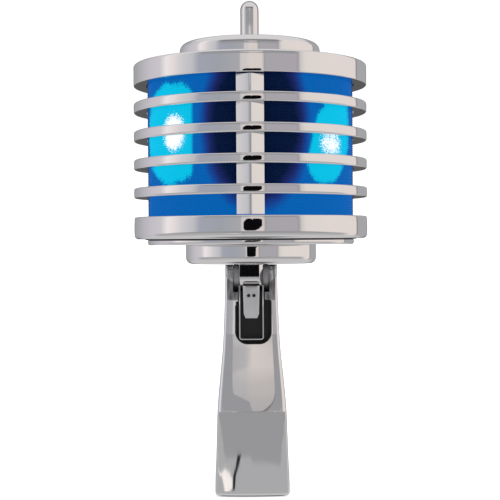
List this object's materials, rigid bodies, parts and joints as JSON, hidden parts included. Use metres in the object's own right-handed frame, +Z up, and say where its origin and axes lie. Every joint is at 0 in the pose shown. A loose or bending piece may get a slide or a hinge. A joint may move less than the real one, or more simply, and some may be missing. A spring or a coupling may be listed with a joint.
{
  "type": "ribbon microphone",
  "caption": "Round ringed chrome microphone head with a blue mesh screen, tilting on a flared stand with a slide switch, a rear connector and a thread socket.",
  "frame": {"origin": "centre of the stand's flat underside, which is also the centre of the whole part's bottom", "axes": "+Z up along the head's axis, -Y the front with the switch, +Y the back with the connector, +X to the right seen from the front"},
  "size_m": [0.0836, 0.0836, 0.1765],
  "materials": {
    "chrome": "polished chrome plate, mirror-like",
    "blue_mesh": "fine wire mesh with a blue metallic lacquer, lit from inside",
    "cloth": "thin woven acoustic cloth, dark blue",
    "steel": "satin steel",
    "magnet": "ground magnet alloy",
    "foil": "bright corrugated foil",
    "black_plastic": "black moulded plastic",
    "brass": "turned brass",
    "copper_wire": "enamelled copper winding",
    "board": "green circuit board",
    "lamp": "clear blue lamp body",
    "pin": "silver-plated contact pin"
  },
  "bodies": {
    "stand": {"stand_body": "chrome", "pivot_bolt": "chrome", "pivot_nut": "chrome", "friction_washer_left": "steel", "friction_washer_right": "steel", "switch_frame": "chrome", "switch_plate": "black_plastic", "thread_insert": "brass", "connector_shell": "chrome", "connector_insulator": "black_plastic", "connector_pin_1": "pin", "connector_pin_2": "pin", "connector_pin_3": "pin"},
    "head": {"finial": "chrome", "finial_nut": "brass", "cap": "chrome", "crown_ring": "chrome", "fin_1": "chrome", "fin_2": "chrome", "fin_3": "chrome", "fin_4": "chrome", "spine_front": "chrome", "spine_rear": "chrome", "base_ring": "chrome", "base_plate": "chrome", "lower_boss": "chrome", "mesh_screen": "blue_mesh", "acoustic_liner": "cloth", "tie_rod_1": "steel", "tie_rod_2": "steel", "tie_rod_3": "steel", "rod_nut_1": "brass", "rod_nut_2": "brass", "rod_nut_3": "brass", "rod_screw_1": "steel", "rod_screw_2": "steel", "rod_screw_3": "steel", "motor_deck": "steel", "motor_frame": "steel", "magnet_left": "magnet", "magnet_right": "magnet", "pole_piece_left": "steel", "pole_piece_right": "steel", "ribbon": "foil", "ribbon_clamp_bottom": "black_plastic", "ribbon_clamp_top": "black_plastic", "transformer_can": "steel", "transformer_core": "magnet", "transformer_coil": "copper_wire", "lamp_board_1": "board", "lamp_board_2": "board", "lamp_board_3": "board", "lamp_board_4": "board", "lamp_1": "lamp", "lamp_2": "lamp", "lamp_3": "lamp", "lamp_4": "lamp", "hinge_tongue": "chrome", "tongue_nut": "brass"},
    "slider": {"switch_slider": "steel"}
  },
  "joints": [
    {"name": "head_tilt", "type": "hinge", "parent": "stand", "child": "head", "pos_m": [0, 0, 0.0769], "axis": [1, 0, 0], "range_deg": [-45, 45]},
    {"name": "switch_slide", "type": "slide", "parent": "stand", "child": "slider", "axis": [0, 0, -1], "range_m": [0, 0.0062]}
  ]
}
